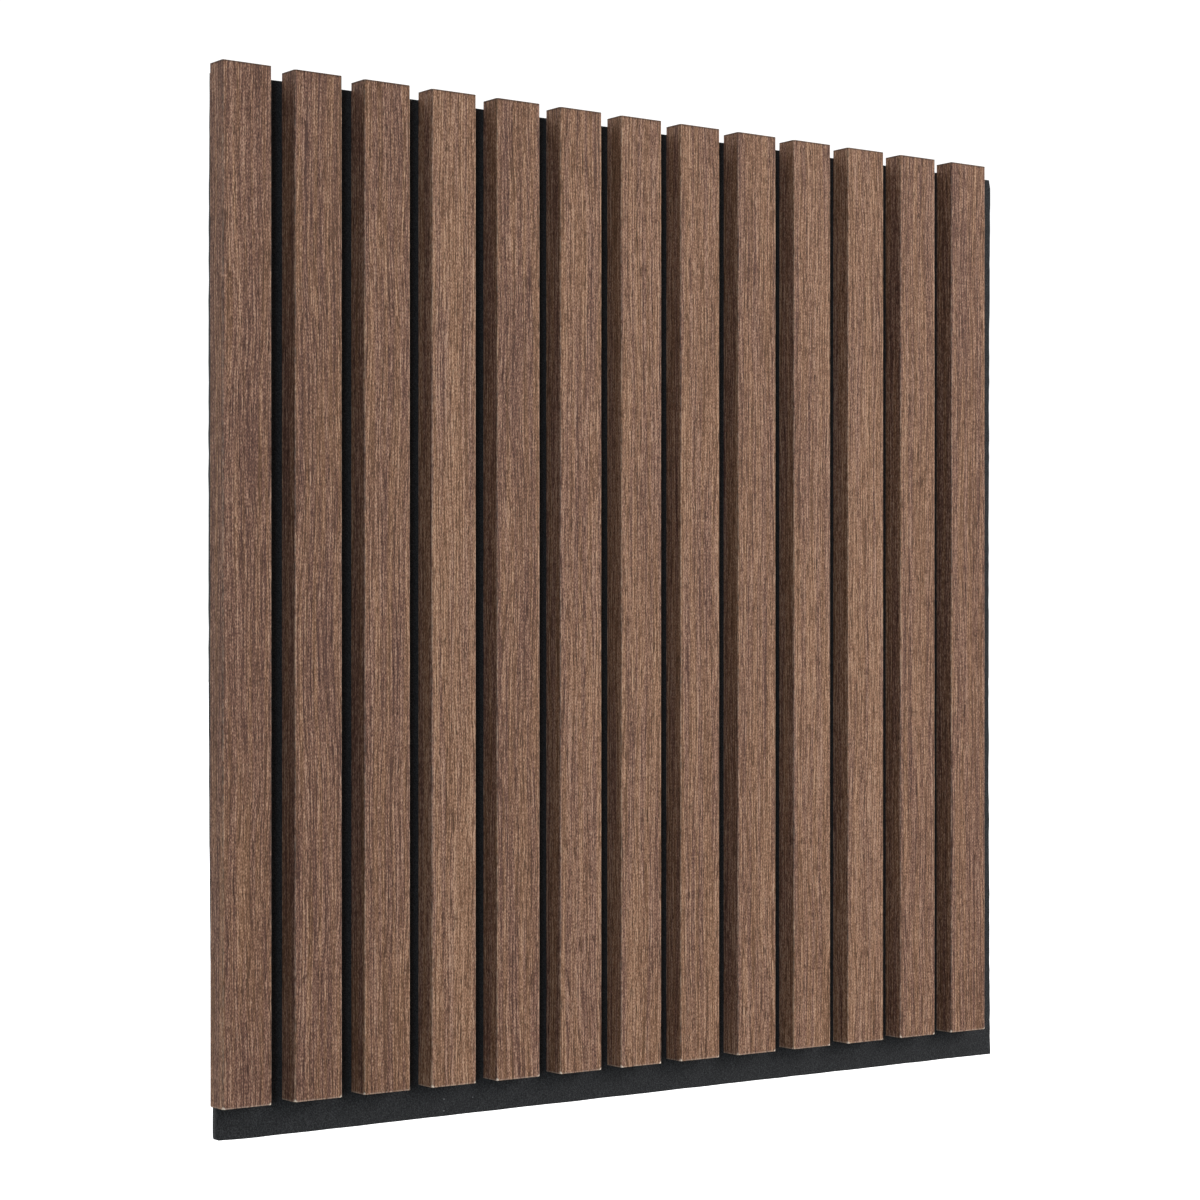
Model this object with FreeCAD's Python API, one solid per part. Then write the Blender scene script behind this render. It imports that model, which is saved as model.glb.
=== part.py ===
"""Acoustic slat wall panel: a square tile of veneered slats on a felt sheet.

Thirteen upright slats stand side by side on one sheet of pressed felt. Each slat is a bar of
fibreboard with a thin wood veneer folded over its face and both its sides. The slats are
glued to the felt and held from behind by wire staples, whose crowns lie sunk in the felt.

The felt is shifted against the slats. It laps past them at the right and below, and stops
short of them at the left and on top, so that tiles laid edge to edge keep one even gap.

The panel hangs upright on a wall. The origin is the middle of the felt's back, which lies on
the wall. +X runs to the right as seen from the room, +Z is up, and the room is towards -Y.
All sizes are in millimetres.
"""

import FreeCAD, Part

import math
import os

# Slats
SLAT_COUNT = 13
SLAT_WIDTH = 27.0
SLAT_GAP = 13.0
SLAT_LENGTH = 507.0
SLAT_DEPTH = 12.5
VENEER_THICKNESS = 0.5
CORE_ARRIS_RADIUS = 0.1

# Felt sheet
FELT_THICKNESS = 5.0
FELT_LAP_RIGHT = 15.0
FELT_LAP_BELOW = 17.0
FELT_INSET_LEFT = 2.0
FELT_INSET_TOP = 4.5
FELT_EDGE_BOW = 1.8
FELT_CORNER_RADIUS = 2.0
FELT_NIP_WIDTH = 1.2
FELT_NIP_HEIGHT = 5.0

# Staples
STAPLES_PER_SLAT = 3
STAPLE_END_MARGIN = 52.0
STAPLE_CROWN = 10.0
STAPLE_BITE = 5.5
STAPLE_WIRE_WIDTH = 1.2
STAPLE_WIRE_THICKNESS = 0.6
STAPLE_SINK = 0.4
DENT_CLEARANCE = 0.7

# Places that follow from the sizes above
SLAT_PITCH = SLAT_WIDTH + SLAT_GAP
SLAT_ROW_WIDTH = (SLAT_COUNT - 1) * SLAT_PITCH + SLAT_WIDTH
FELT_WIDTH = SLAT_ROW_WIDTH + FELT_LAP_RIGHT - FELT_INSET_LEFT
FELT_HEIGHT = SLAT_LENGTH + FELT_LAP_BELOW - FELT_INSET_TOP
FELT_RIGHT = FELT_WIDTH / 2
FELT_LEFT = -FELT_RIGHT
FELT_TOP = FELT_HEIGHT / 2
FELT_BOTTOM = -FELT_TOP
FELT_BACK_Y = 0.0
FELT_FRONT_Y = FELT_BACK_Y - FELT_THICKNESS
ROW_LEFT = FELT_LEFT - FELT_INSET_LEFT
SLAT_BOTTOM = FELT_BOTTOM + FELT_LAP_BELOW
SLAT_TOP = SLAT_BOTTOM + SLAT_LENGTH
CROWN_OUTER_Y = FELT_BACK_Y - STAPLE_SINK
CROWN_INNER_Y = CROWN_OUTER_Y - STAPLE_WIRE_THICKNESS
STAPLE_TIP_Y = FELT_FRONT_Y - STAPLE_BITE


def point(x, y, z):
    """A point, or a direction, in the panel's frame."""
    return FreeCAD.Vector(x, y, z)


def bend_points(before, corner, after, radius):
    """The start, the middle and the end of the arc that rounds a corner."""
    backwards = (before - corner).normalize()
    onwards = (after - corner).normalize()
    inwards = (backwards + onwards).normalize()
    half_angle = backwards.getAngle(onwards) / 2
    reach = radius / math.tan(half_angle)
    depth = radius / math.sin(half_angle) - radius
    return corner + backwards * reach, corner + inwards * depth, corner + onwards * reach


def side(start, end, bow):
    """One side of an outline, straight, or an arc whose middle is pushed out by the bow."""
    if bow is None:
        return Part.LineSegment(start, end).toShape()
    return Part.Arc(start, (start + end) / 2 + bow, end).toShape()


def prism(corners, rise):
    """A solid as deep as its rise, over an outline of corners.

    Each corner is its point, the radius that rounds it, and the bow of the side after it.
    """
    points = [corner for corner, radius, bow in corners]
    following = points[1:] + points[:1]
    bends = [
        bend_points(points[index - 1], corner, following[index], radius)
        for index, (corner, radius, bow) in enumerate(corners)
    ]
    edges = []
    for index, (corner, radius, bow) in enumerate(corners):
        start, middle, end = bends[index]
        next_start = bends[(index + 1) % len(bends)][0]
        if radius > 0:
            edges.append(Part.Arc(start, middle, end).toShape())
        edges.append(side(end, next_start, bow))
    return Part.Face(Part.Wire(edges)).extrude(rise)


def slat_left(index):
    """The left side of a slat, counted from 0 at the left end of the row."""
    return ROW_LEFT + index * SLAT_PITCH


def slat_middle(index):
    """The middle line of a slat."""
    return slat_left(index) + SLAT_WIDTH / 2


def slat_bar(index, skin):
    """A bar as long as a slat and seated on the felt, a skin's thickness inside its outside."""
    left = slat_left(index) + skin
    right = slat_left(index) + SLAT_WIDTH - skin
    front = FELT_FRONT_Y - SLAT_DEPTH + skin
    arris_radius = CORE_ARRIS_RADIUS + VENEER_THICKNESS - skin
    corners = [
        (point(left, FELT_FRONT_Y, SLAT_BOTTOM), 0.0, None),
        (point(left, front, SLAT_BOTTOM), arris_radius, None),
        (point(right, front, SLAT_BOTTOM), arris_radius, None),
        (point(right, FELT_FRONT_Y, SLAT_BOTTOM), 0.0, None),
    ]
    return prism(corners, point(0, 0, SLAT_LENGTH))


def slat_core(index, staples):
    """The fibreboard bar of one slat, with a slit for each leg of its staples."""
    return slat_bar(index, VENEER_THICKNESS).cut(Part.makeCompound(staples))


def slat_veneer(index):
    """The veneer folded over one slat's face and sides, open at the felt and at both ends."""
    return slat_bar(index, 0.0).cut(slat_bar(index, VENEER_THICKNESS))


def staple_heights():
    """The heights of the staple middles, evenly spread along a slat."""
    lowest = SLAT_BOTTOM + STAPLE_END_MARGIN
    highest = SLAT_TOP - STAPLE_END_MARGIN
    step = (highest - lowest) / (STAPLES_PER_SLAT - 1)
    return [lowest + row * step for row in range(STAPLES_PER_SLAT)]


def staple(x, z):
    """A flat-wire staple driven from behind, folded tight at its crown, its legs pointed."""
    left = x - STAPLE_WIRE_WIDTH / 2
    outside = STAPLE_CROWN / 2
    inside = outside - STAPLE_WIRE_THICKNESS
    chisel_y = STAPLE_TIP_Y + STAPLE_WIRE_THICKNESS
    corners = [
        (point(left, CROWN_OUTER_Y, z - outside), STAPLE_WIRE_THICKNESS, None),
        (point(left, CROWN_OUTER_Y, z + outside), STAPLE_WIRE_THICKNESS, None),
        (point(left, STAPLE_TIP_Y, z + outside), 0.0, None),
        (point(left, chisel_y, z + inside), 0.0, None),
        (point(left, CROWN_INNER_Y, z + inside), 0.0, None),
        (point(left, CROWN_INNER_Y, z - inside), 0.0, None),
        (point(left, chisel_y, z - inside), 0.0, None),
        (point(left, STAPLE_TIP_Y, z - outside), 0.0, None),
    ]
    return prism(corners, point(STAPLE_WIRE_WIDTH, 0, 0))


def crown_dent(x, z):
    """The pocket that a driven crown leaves in the back of the felt."""
    length = STAPLE_CROWN + 2 * DENT_CLEARANCE
    width = STAPLE_WIRE_WIDTH + 2 * DENT_CLEARANCE
    depth = FELT_BACK_Y - CROWN_INNER_Y
    corner = point(x - width / 2, CROWN_INNER_Y, z - length / 2)
    return Part.makeBox(width, depth, length, corner)


def felt_sheet():
    """The felt as cut: left edge bowed out, lower left corner worn round, top right nipped."""
    corner_left = FELT_LEFT + FELT_EDGE_BOW
    bow = point(-FELT_EDGE_BOW, 0, 0)
    corners = [
        (point(corner_left, FELT_BACK_Y, FELT_BOTTOM), FELT_CORNER_RADIUS, bow),
        (point(corner_left, FELT_BACK_Y, FELT_TOP), 0.0, None),
        (point(FELT_RIGHT - FELT_NIP_WIDTH, FELT_BACK_Y, FELT_TOP), 0.0, None),
        (point(FELT_RIGHT, FELT_BACK_Y, FELT_TOP - FELT_NIP_HEIGHT), 0.0, None),
        (point(FELT_RIGHT, FELT_BACK_Y, FELT_BOTTOM), 0.0, None),
    ]
    return prism(corners, point(0, -FELT_THICKNESS, 0))


def felt_backing(staples):
    """The felt sheet with a dent for each crown and a slit for each leg."""
    dents = [
        crown_dent(slat_middle(index), height)
        for index in range(SLAT_COUNT)
        for height in staple_heights()
    ]
    return felt_sheet().cut(Part.makeCompound(dents)).cut(Part.makeCompound(staples))


def write(name, shape):
    """Writes one piece as parts/NAME.step, as a plain solid where it is a single one."""
    solids = shape.Solids
    piece = solids[0] if len(solids) == 1 else Part.makeCompound(solids)
    piece.exportStep(os.path.join("parts", name + ".step"))


def main():
    """Builds every piece and writes it to its own file."""
    os.makedirs("parts", exist_ok=True)
    all_staples = []
    for index in range(SLAT_COUNT):
        staples = [staple(slat_middle(index), height) for height in staple_heights()]
        write(f"slat_core_{index + 1:02d}", slat_core(index, staples))
        write(f"slat_veneer_{index + 1:02d}", slat_veneer(index))
        all_staples.extend(staples)
    write("felt_backing", felt_backing(all_staples))
    write("back_staples", Part.makeCompound(all_staples))


main()
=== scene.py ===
"""Looks of an acoustic slat wall panel: folded wood veneer, raw fibreboard, pressed felt, wire.

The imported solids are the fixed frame. The fibreboard cores and the staples stay as they are and
get their finishes. The veneers and the felt are built anew in the same places, with the torn
ends, soft edges, dents and loose fibres that the solids leave out.

Lengths are in metres in the panel's own frame: +X to the right as seen from the room, +Y into
the wall, +Z up along the slats. Shader patterns count in millimetres.
"""

import logging
import math
from collections.abc import Callable
from dataclasses import dataclass, field
from enum import Enum
from typing import Any

import bpy
import numpy as np
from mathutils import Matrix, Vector


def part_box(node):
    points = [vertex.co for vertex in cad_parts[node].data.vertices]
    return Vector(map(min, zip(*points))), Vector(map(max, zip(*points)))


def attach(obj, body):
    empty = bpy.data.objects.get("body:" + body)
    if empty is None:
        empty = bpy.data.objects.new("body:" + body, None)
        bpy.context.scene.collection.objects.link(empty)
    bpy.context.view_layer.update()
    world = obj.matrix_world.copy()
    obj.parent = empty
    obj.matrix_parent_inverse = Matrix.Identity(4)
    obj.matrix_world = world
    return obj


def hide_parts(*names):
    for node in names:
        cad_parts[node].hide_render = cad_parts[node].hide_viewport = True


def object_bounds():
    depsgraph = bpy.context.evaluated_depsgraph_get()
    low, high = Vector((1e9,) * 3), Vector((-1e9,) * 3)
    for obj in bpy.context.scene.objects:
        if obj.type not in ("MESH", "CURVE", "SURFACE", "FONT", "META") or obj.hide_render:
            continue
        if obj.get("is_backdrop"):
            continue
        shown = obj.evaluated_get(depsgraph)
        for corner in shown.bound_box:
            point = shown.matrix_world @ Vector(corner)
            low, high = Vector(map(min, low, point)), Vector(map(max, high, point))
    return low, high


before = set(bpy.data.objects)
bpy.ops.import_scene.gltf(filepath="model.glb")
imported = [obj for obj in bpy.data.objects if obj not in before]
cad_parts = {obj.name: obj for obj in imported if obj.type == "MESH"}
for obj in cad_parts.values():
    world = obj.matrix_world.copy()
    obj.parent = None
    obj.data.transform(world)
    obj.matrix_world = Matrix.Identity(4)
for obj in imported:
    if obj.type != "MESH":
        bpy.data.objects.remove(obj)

MM = 0.001
BODY = "root"
NOISE_MIDDLE = 0.5
QUARTER_TURN = math.pi / 2
LOG = logging.getLogger("slat_panel")

Triple = tuple[float, float, float]
Colour = tuple[float, float, float, float]
Span = tuple[float, float]
Stops = tuple[tuple[float, Colour], ...]

WHITE: Colour = (1.0, 1.0, 1.0, 1.0)


class Slot(Enum):
    """The record's material slots."""

    FELT = "felt"
    VENEER = "veneer"
    FIBREBOARD = "fibreboard"
    STAPLE_WIRE = "staple_wire"


@dataclass(frozen=True)
class Layer:
    """Soft noise: its spread is about how long one blotch is along X, Y and Z.

    Detail is how many finer layers it has, and rough how strong they are. It shows between two
    of its values, with a weight.
    """

    spread: Triple
    detail: float = 2.0
    rough: float = 0.5
    weight: float = 1.0
    shows: Span = (0.0, 1.0)


def display_colour(red: int, green: int, blue: int) -> Colour:
    """Turns a display colour into the linear one that shaders take.

    Args:
        red: the red part, 0 to 255.
        green: the green part, 0 to 255.
        blue: the blue part, 0 to 255.

    Returns:
        The linear colour, opaque.
    """
    shares = (channel / 255 for channel in (red, green, blue))
    linear = (
        share / 12.92 if share <= 0.04045 else ((share + 0.055) / 1.055) ** 2.4
        for share in shares
    )
    return (*linear, 1.0)


def maths(operation: str, swapped: bool = False) -> Callable[..., "Signal"]:
    """Makes a method of a signal that adds one Math node.

    Args:
        operation: the node's operation.
        swapped: whether the signal is the node's second value.

    Returns:
        The method.
    """

    def method(signal: "Signal", *others: "Signal | float") -> "Signal":
        """The operation's result."""
        return signal.nodes.calc(operation, *((*others, signal) if swapped else (signal, *others)))

    return method


class Signal:
    """One output socket of a node tree. Arithmetic on it adds Math nodes."""

    __add__ = __radd__ = maths("ADD")
    __sub__ = maths("SUBTRACT")
    __rsub__ = maths("SUBTRACT", swapped=True)
    __mul__ = __rmul__ = maths("MULTIPLY")
    __truediv__ = maths("DIVIDE")
    __pow__ = maths("POWER")
    size = maths("ABSOLUTE")
    sign = maths("SIGN")
    sine = maths("SINE")
    cosine = maths("COSINE")
    least = maths("MINIMUM")
    most = maths("MAXIMUM")

    def __init__(self, nodes: "Nodes", socket: bpy.types.NodeSocket) -> None:
        """Keeps the socket and the tree that it belongs to."""
        self.nodes = nodes
        self.socket = socket

    def sway(self, weight: float) -> "Signal":
        """How far noise is from its middle, times a weight."""
        return (self - NOISE_MIDDLE) * weight

    def rise(self, low: "Signal | float", high: "Signal | float") -> "Signal":
        """Eases from 0 at one value to 1 at another."""
        inputs = {"Value": self, "From Min": low, "From Max": high}
        return self.nodes.step("ShaderNodeMapRange", {"interpolation_type": "SMOOTHSTEP"}, inputs)

    def within(self, low: "Signal | float", high: "Signal | float") -> "Signal":
        """The value, held between two others."""
        return self.most(low).least(high)


class Nodes:
    """Adds nodes to one shader or geometry tree."""

    MIX_COLOUR_A = 6
    MIX_COLOUR_B = 7
    MIX_COLOUR_OUT = 2

    def __init__(self, tree: bpy.types.NodeTree) -> None:
        """Keeps the tree that nodes are added to."""
        self.tree = tree

    def node(
        self, kind: str, settings: dict[str, Any] | None = None, inputs: dict | None = None
    ) -> bpy.types.Node:
        """Adds one node.

        Args:
            kind: the node's type.
            settings: its own settings, set first. "stops" are a ramp's (position, colour) pairs.
            inputs: a socket's name or number, to a value, a socket or a signal.

        Returns:
            The new node.
        """
        made = self.tree.nodes.new(kind)
        for name, value in (settings or {}).items():
            if name == "stops":
                self._set_stops(made.color_ramp, value)
            else:
                setattr(made, name, value)
        for name, value in (inputs or {}).items():
            source = value.socket if isinstance(value, Signal) else value
            if isinstance(source, bpy.types.NodeSocket):
                self.tree.links.new(source, made.inputs[name])
            else:
                made.inputs[name].default_value = source
        return made

    def _set_stops(self, ramp: bpy.types.ColorRamp, stops: Stops) -> None:
        """Gives a colour ramp its stops.

        Args:
            ramp: the ramp to change.
            stops: position and linear colour of each stop, in rising order.
        """
        while len(ramp.elements) < len(stops):
            ramp.elements.new(1.0)
        for element, (position, colour) in zip(ramp.elements, stops):
            element.position = position
            element.color = colour

    def step(self, kind: str, settings: dict | None = None, inputs: dict | None = None) -> Signal:
        """Adds one node and returns its first output."""
        return Signal(self, self.node(kind, settings, inputs).outputs[0])

    def calc(self, operation: str, *values: Signal | float) -> Signal:
        """The result of one Math node."""
        return self.step("ShaderNodeMath", {"operation": operation}, dict(enumerate(values)))

    def vector(self, operation: str, *values: Signal | Triple) -> Signal:
        """The result of one Vector Math node."""
        return self.step("ShaderNodeVectorMath", {"operation": operation}, dict(enumerate(values)))

    def combine(self, x: Signal | float, y: Signal | float, z: Signal | float) -> Signal:
        """A vector of three values."""
        return self.step("ShaderNodeCombineXYZ", inputs={"X": x, "Y": y, "Z": z})

    def split(self, source: Signal) -> tuple[Signal, Signal, Signal]:
        """The three values of a vector."""
        made = self.node("ShaderNodeSeparateXYZ", inputs={0: source})
        return tuple(Signal(self, output) for output in made.outputs)

    def scaled(self, at: Signal, spread: Triple) -> dict[str, Signal | float]:
        """The inputs that stretch a texture over a spread of lengths."""
        pace = tuple(1 / length for length in spread)
        return {"Vector": self.vector("MULTIPLY", at, pace), "Scale": 1.0}

    def noise(self, at: Signal, layer: Layer) -> Signal:
        """Soft noise at a place, of values about 0.5."""
        inputs = self.scaled(at, layer.spread) | {"Detail": layer.detail, "Roughness": layer.rough}
        return self.step("ShaderNodeTexNoise", inputs=inputs)

    def cells(self, at: Signal, spread: Triple) -> bpy.types.Node:
        """A Voronoi texture of scattered cells, with its outputs Distance and Color."""
        return self.node("ShaderNodeTexVoronoi", inputs=self.scaled(at, spread))

    def ramp(self, value: Signal, stops: Stops) -> Signal:
        """The colour of a ramp at a value."""
        return self.step("ShaderNodeValToRGB", {"stops": stops}, {"Fac": value})

    def blend(self, share: Signal | float, low: Signal | Colour, high: Signal | Colour) -> Signal:
        """Mixes two colours: a share of 0 gives the first, 1 the second."""
        inputs = {0: share, self.MIX_COLOUR_A: low, self.MIX_COLOUR_B: high}
        made = self.node("ShaderNodeMix", {"data_type": "RGBA"}, inputs)
        return Signal(self, made.outputs[self.MIX_COLOUR_OUT])

    def cover(
        self, under: Signal | Colour, noise: Signal, layer: Layer, over: Signal | Colour
    ) -> Signal:
        """Lays one colour over another where the noise of a layer shows."""
        return self.blend(noise.rise(*layer.shows) * layer.weight, under, over)


class ShaderNodes(Nodes):
    """The nodes of one material, around one Principled shader."""

    def __init__(self, name: str, fixed: dict[str, Any]) -> None:
        """Makes the material.

        Args:
            name: the material's name.
            fixed: values of the shader that are the same all over the surface.
        """
        self.material = bpy.data.materials.new(name)
        self.material.use_nodes = True
        super().__init__(self.material.node_tree)
        self.tree.nodes.clear()
        self.shader = self.node("ShaderNodeBsdfPrincipled", inputs=fixed)
        self.node("ShaderNodeOutputMaterial", inputs={"Surface": self.shader.outputs[0]})

    def place(self) -> Signal:
        """The place on the surface in millimetres, in the panel's frame."""
        in_metres = Signal(self, self.node("ShaderNodeTexCoord").outputs["Object"])
        return self.vector("MULTIPLY", in_metres, (1 / MM,) * 3)

    def attribute(self, name: str) -> Signal:
        """A number kept on the mesh under a name."""
        made = self.node("ShaderNodeAttribute", {"attribute_name": name})
        return Signal(self, made.outputs["Fac"])

    def dress(self, colour: Signal, rough: Signal, height: Signal, relief: float) -> None:
        """Links what varies over the surface to the shader.

        Args:
            colour: the base colour.
            rough: the roughness.
            height: the relief's height, about 0 to 1.
            relief: how deep the relief is, in millimetres.
        """
        bump = self.node("ShaderNodeBump", inputs={"Height": height, "Distance": relief * MM})
        for name, source in (
            ("Base Color", colour.socket),
            ("Roughness", rough.socket),
            ("Normal", bump.outputs[0]),
        ):
            self.tree.links.new(source, self.shader.inputs[name])


class GeometryNodes(Nodes):
    """A Geometry Nodes tree with named sizes, which turns an object into a plain mesh."""

    def __init__(self, name: str) -> None:
        """Makes an empty tree with one geometry in and one out."""
        super().__init__(bpy.data.node_groups.new(name, "GeometryNodeTree"))
        self.identifiers: dict[str, str] = {}
        self._add_socket("Geometry", "INPUT", "NodeSocketGeometry")
        self._add_socket("Geometry", "OUTPUT", "NodeSocketGeometry")
        self.entry = self.tree.nodes.new("NodeGroupInput")

    def _add_socket(self, name: str, side: str, kind: str) -> str:
        """Adds one socket to the tree and returns its identifier."""
        return self.tree.interface.new_socket(name, in_out=side, socket_type=kind).identifier

    def number(self, name: str, whole: bool = False) -> Signal:
        """Adds a named number to the tree's inputs.

        Args:
            name: the input's name.
            whole: whether it is a whole number.

        Returns:
            The number.
        """
        kind = "NodeSocketInt" if whole else "NodeSocketFloat"
        self.identifiers[name] = self._add_socket(name, "INPUT", kind)
        return Signal(self, self.entry.outputs[name])

    def base(self) -> Signal:
        """The geometry that the object starts with."""
        return Signal(self, self.entry.outputs["Geometry"])

    def store(self, mesh: Signal, name: str, value: Signal | float, at: tuple[str, str]) -> Signal:
        """Keeps a value on a mesh under a name, as a data type at a domain."""
        settings = dict(zip(("data_type", "domain"), at))
        inputs = {"Geometry": mesh, "Name": name, "Value": value}
        return self.step("GeometryNodeStoreNamedAttribute", settings, inputs)

    def stored(self, name: str, kind: str) -> Signal:
        """The value kept on the mesh under a name."""
        return self.step("GeometryNodeInputNamedAttribute", {"data_type": kind}, {"Name": name})

    def chance(self, span: Span, seed: Signal) -> Signal:
        """A random number for each point, between two others."""
        inputs = {"Min": span[0], "Max": span[1], "Seed": seed}
        made = self.node("FunctionNodeRandomValue", {"data_type": "FLOAT"}, inputs)
        return Signal(self, made.outputs["Value"])

    def end(self, geometry: Signal, material: bpy.types.Material) -> None:
        """Makes the result real, gives it its material and sends it out.

        Args:
            geometry: the finished geometry.
            material: the finish of all of it.
        """
        real = self.step("GeometryNodeRealizeInstances", inputs={"Geometry": geometry})
        dressed = self.step(
            "GeometryNodeSetMaterial", inputs={"Geometry": real, "Material": material}
        )
        self.node("NodeGroupOutput", inputs={"Geometry": dressed})

    def bake(self, piece: bpy.types.Object, sizes: dict[str, float]) -> None:
        """Runs the tree on an object and leaves it a plain mesh.

        Args:
            piece: the object, whose mesh is replaced by the result.
            sizes: the value of each named input.
        """
        modifier = piece.modifiers.new(self.tree.name, "NODES")
        modifier.node_group = self.tree
        for name, value in sizes.items():
            modifier[self.identifiers[name]] = value
        evaluated = piece.evaluated_get(bpy.context.evaluated_depsgraph_get())
        mesh = bpy.data.meshes.new_from_object(evaluated)
        while mesh.materials and mesh.materials[0] is None:
            mesh.materials.pop(index=0)
        piece.modifiers.clear()
        piece.data = mesh
        mesh.name = piece.name


def new_piece(name: str, mesh: bpy.types.Mesh | None = None) -> bpy.types.Object:
    """Puts a mesh object at the frame's origin.

    Args:
        name: the object's name.
        mesh: its mesh, or none for an empty one.

    Returns:
        The object, linked to the scene.
    """
    piece = bpy.data.objects.new(name, mesh or bpy.data.meshes.new(name))
    bpy.context.scene.collection.objects.link(piece)
    return piece


def seat(piece: bpy.types.Object, slot: Slot, *stands_for: str) -> None:
    """Ties a finished piece to the panel.

    Args:
        piece: the finished object.
        slot: the record's slot that its finish comes from; not used.
        stands_for: the nodes that it replaces.
    """
    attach(piece, BODY)
    if stands_for:
        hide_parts(*stands_for)
    LOG.info("%s: %d faces", piece.name, len(piece.data.polygons))


def dress_solid(name: str, material: bpy.types.Material) -> None:
    """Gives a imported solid, which stays as it is, its finish.

    Args:
        name: the solid's node.
        material: the finish.
    """
    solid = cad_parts[name]
    solid.data.materials.clear()
    solid.data.materials.append(material)
    LOG.info("%s: dressed", name)


@dataclass(frozen=True)
class PanelSizes:
    """The sizes of the slat row and the felt, in metres, as read from the frame."""

    numbers: tuple[str, ...]
    row_left: float
    slat_width: float
    pitch: float
    slat_bottom: float
    slat_top: float
    slat_front: float
    felt_low: Vector
    felt_high: Vector
    skin: float

    @classmethod
    def read(cls) -> "PanelSizes":
        """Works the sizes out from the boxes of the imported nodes.

        Returns:
            The panel's sizes.
        """
        numbers = tuple(
            sorted(name[-2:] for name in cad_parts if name.startswith("slat_veneer_"))
        )
        low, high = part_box(f"slat_veneer_{numbers[0]}")
        next_low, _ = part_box(f"slat_veneer_{numbers[1]}")
        core_low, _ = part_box(f"slat_core_{numbers[0]}")
        felt_low, felt_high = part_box("felt_backing")
        return cls(
            numbers=numbers,
            row_left=low.x,
            slat_width=high.x - low.x,
            pitch=next_low.x - low.x,
            slat_bottom=low.z,
            slat_top=high.z,
            slat_front=low.y,
            felt_low=felt_low,
            felt_high=felt_high,
            skin=core_low.x - low.x,
        )


@dataclass(frozen=True)
class Rings:
    """Upright lines of growth rings, and how much they darken the wood.

    They are broken up where a noise is below a span.
    """

    spacing: float
    offset: float
    broken: Span
    weight: float


@dataclass(frozen=True)
class WearAndHighlight:
    """Pale colour near an edge, rubbed wear and on the arrises partly a painted highlight: how far
    it reaches, where noise breaks it up, and its share.
    """

    reach: Span
    broken: Span
    share: float


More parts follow.
